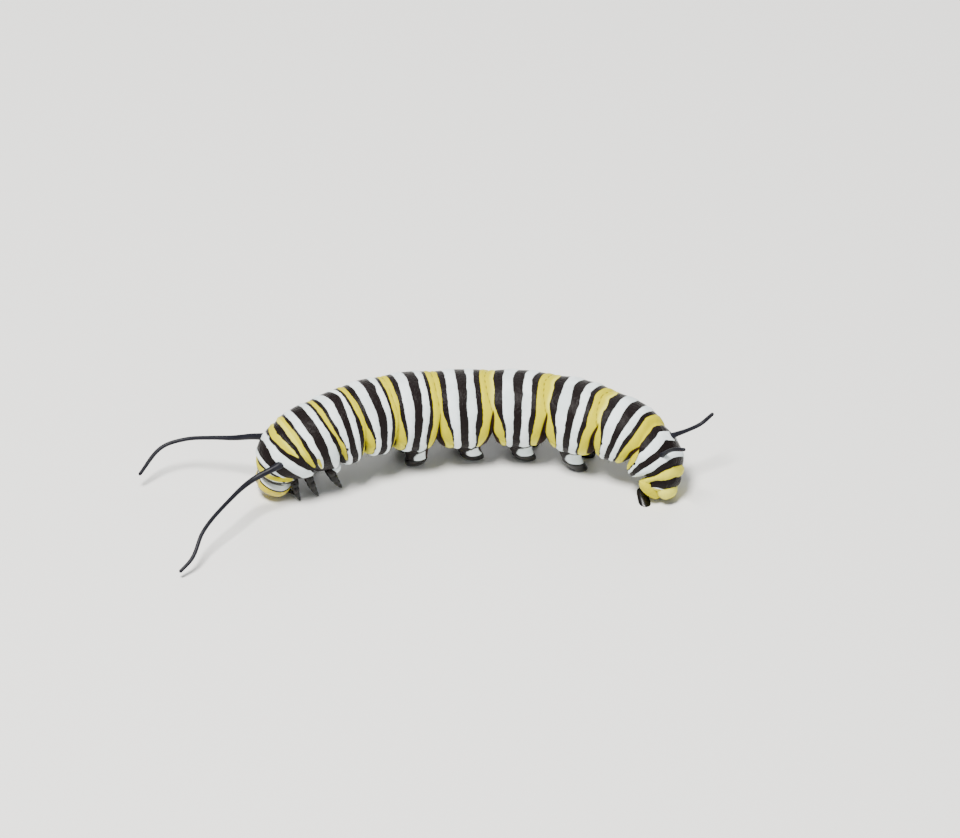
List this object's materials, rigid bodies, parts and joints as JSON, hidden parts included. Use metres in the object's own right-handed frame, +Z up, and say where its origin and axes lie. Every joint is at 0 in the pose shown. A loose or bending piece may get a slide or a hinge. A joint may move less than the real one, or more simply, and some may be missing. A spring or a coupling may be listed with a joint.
{
  "type": "monarch butterfly larva",
  "caption": "Full-grown monarch butterfly larva, banded in white, black and yellow, standing with its head tucked down and its long black filaments spread.",
  "frame": {"origin": "middle of the larva's outline seen from above, at the level of its feet", "axes": "+X from the head to the tail, +Y to the larva's right, +Z up"},
  "size_m": [0.0538, 0.023, 0.0093],
  "materials": {
    "banded_skin": "soft, slightly moist skin, banded in white, black and yellow",
    "head_shell": "smooth, half-gloss shell, yellow with black and white arcs",
    "black_shell": "glossy black shell",
    "filament_skin": "slate-black skin with a dull sheen"
  },
  "bodies": {
    "root": {"head": "head_shell", "labrum": "black_shell", "mandible_left": "black_shell", "mandible_right": "black_shell", "antenna_left": "black_shell", "antenna_right": "black_shell", "thorax_1": "banded_skin", "thorax_2": "banded_skin", "thorax_3": "banded_skin", "abdomen_1": "banded_skin", "abdomen_2": "banded_skin", "abdomen_3": "banded_skin", "abdomen_4": "banded_skin", "abdomen_5": "banded_skin", "abdomen_6": "banded_skin", "abdomen_7": "banded_skin", "abdomen_8": "banded_skin", "abdomen_9": "banded_skin", "abdomen_10": "banded_skin", "leg_1_left": "black_shell", "leg_1_right": "black_shell", "leg_2_left": "black_shell", "leg_2_right": "black_shell", "leg_3_left": "black_shell", "leg_3_right": "black_shell", "proleg_3_left": "banded_skin", "proleg_3_right": "banded_skin", "proleg_4_left": "banded_skin", "proleg_4_right": "banded_skin", "proleg_5_left": "banded_skin", "proleg_5_right": "banded_skin", "proleg_6_left": "banded_skin", "proleg_6_right": "banded_skin", "anal_proleg_left": "black_shell", "anal_proleg_right": "black_shell", "front_filament_left": "filament_skin", "front_filament_right": "filament_skin", "rear_filament_left": "filament_skin", "rear_filament_right": "filament_skin"}
  },
  "joints": []
}
